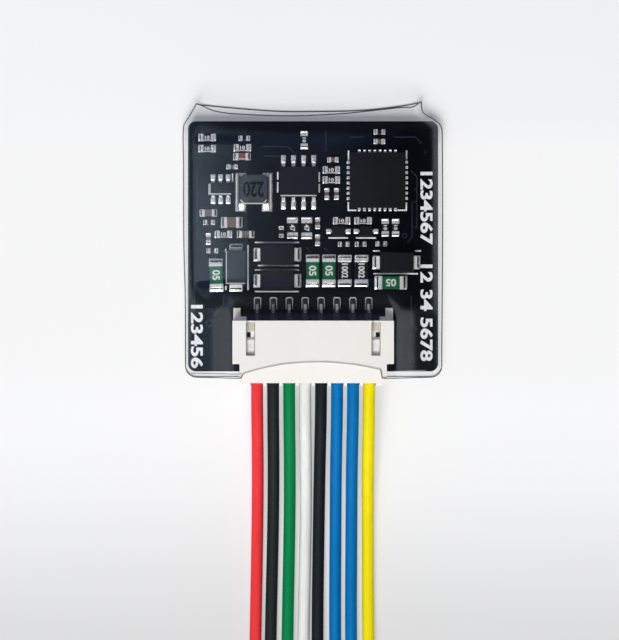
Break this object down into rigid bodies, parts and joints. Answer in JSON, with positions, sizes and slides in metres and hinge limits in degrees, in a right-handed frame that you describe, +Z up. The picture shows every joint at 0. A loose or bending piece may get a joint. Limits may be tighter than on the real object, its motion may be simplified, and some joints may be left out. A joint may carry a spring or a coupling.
{
  "type": "smart home input module",
  "caption": "Small flush-box input module: square circuit board in a clear shrink sleeve, with a side-entry connector and a pull-out plug of coloured leads.",
  "frame": {"origin": "middle of the underside of the module without its leads, on the surface it lies on", "axes": "+Z up through the board's parts side, +Y towards the sleeve's open horned mouth, -Y the way the leads leave, +X to the right seen from above"},
  "size_m": [0.0328, 0.1379, 0.0077],
  "materials": {
    "clear_film": "clear shrink film, glossy",
    "board_black": "black solder mask, satin",
    "solder": "bright solder",
    "tinned_metal": "tinned, satin",
    "ivory_plastic": "ivory moulded nylon, satin",
    "white_plastic": "white moulded nylon, satin",
    "black_epoxy": "moulded epoxy, fine matt",
    "ferrite_grey": "ferrite, matt",
    "resistor_glaze": "black glaze on white ceramic",
    "capacitor_ceramic": "grey-brown ceramic",
    "bead_red": "red-brown ceramic",
    "fuse_green": "green resin, satin",
    "insulation_red": "soft satin insulation",
    "insulation_black": "soft satin insulation",
    "insulation_green": "soft satin insulation",
    "insulation_white": "soft satin insulation",
    "insulation_blue": "soft satin insulation",
    "insulation_yellow": "soft satin insulation"
  },
  "bodies": {
    "module": {"clear_sleeve": "clear_film", "circuit_board": "board_black", "solder_lands": "solder", "header_shell": "ivory_plastic", "header_contacts": "tinned_metal", "header_solder_tabs": "tinned_metal", "transceiver_body": "black_epoxy", "transceiver_leads": "tinned_metal", "regulator_body": "black_epoxy", "regulator_leads": "tinned_metal", "controller_body": "black_epoxy", "controller_leads": "tinned_metal", "inductor_body": "ferrite_grey", "inductor_leads": "tinned_metal", "power_diode_1": "black_epoxy", "power_diode_2": "black_epoxy", "power_diode_3": "black_epoxy", "power_diode_4": "black_epoxy", "power_diode_tabs": "tinned_metal", "signal_diodes": "black_epoxy", "signal_diode_leads": "tinned_metal", "resistor_0402_bodies": "resistor_glaze", "resistor_0402_ends": "tinned_metal", "resistor_0603_bodies": "resistor_glaze", "resistor_0603_ends": "tinned_metal", "resistor_0805_bodies": "resistor_glaze", "resistor_0805_ends": "tinned_metal", "resistor_1206_bodies": "resistor_glaze", "resistor_1206_ends": "tinned_metal", "capacitor_0402_bodies": "capacitor_ceramic", "capacitor_0402_ends": "tinned_metal", "capacitor_0603_bodies": "capacitor_ceramic", "capacitor_0603_ends": "tinned_metal", "capacitor_0805_bodies": "capacitor_ceramic", "capacitor_0805_ends": "tinned_metal", "resettable_fuse_1": "fuse_green", "resettable_fuse_2": "fuse_green", "resettable_fuse_3": "fuse_green", "resettable_fuse_4": "fuse_green", "fuse_1206_ends": "tinned_metal", "bead_body": "bead_red", "bead_ends": "tinned_metal"},
    "plug": {"plug_housing": "white_plastic", "crimp_contacts": "tinned_metal", "lead_tips": "tinned_metal", "lead_red": "insulation_red", "lead_black_left": "insulation_black", "lead_green": "insulation_green", "lead_white": "insulation_white", "lead_black_right": "insulation_black", "lead_blue_left": "insulation_blue", "lead_blue_right": "insulation_blue", "lead_yellow": "insulation_yellow"}
  },
  "joints": [
    {"name": "plug_slide", "type": "slide", "parent": "module", "child": "plug", "axis": [0, -1, 0], "range_m": [0, 0.009]}
  ]
}
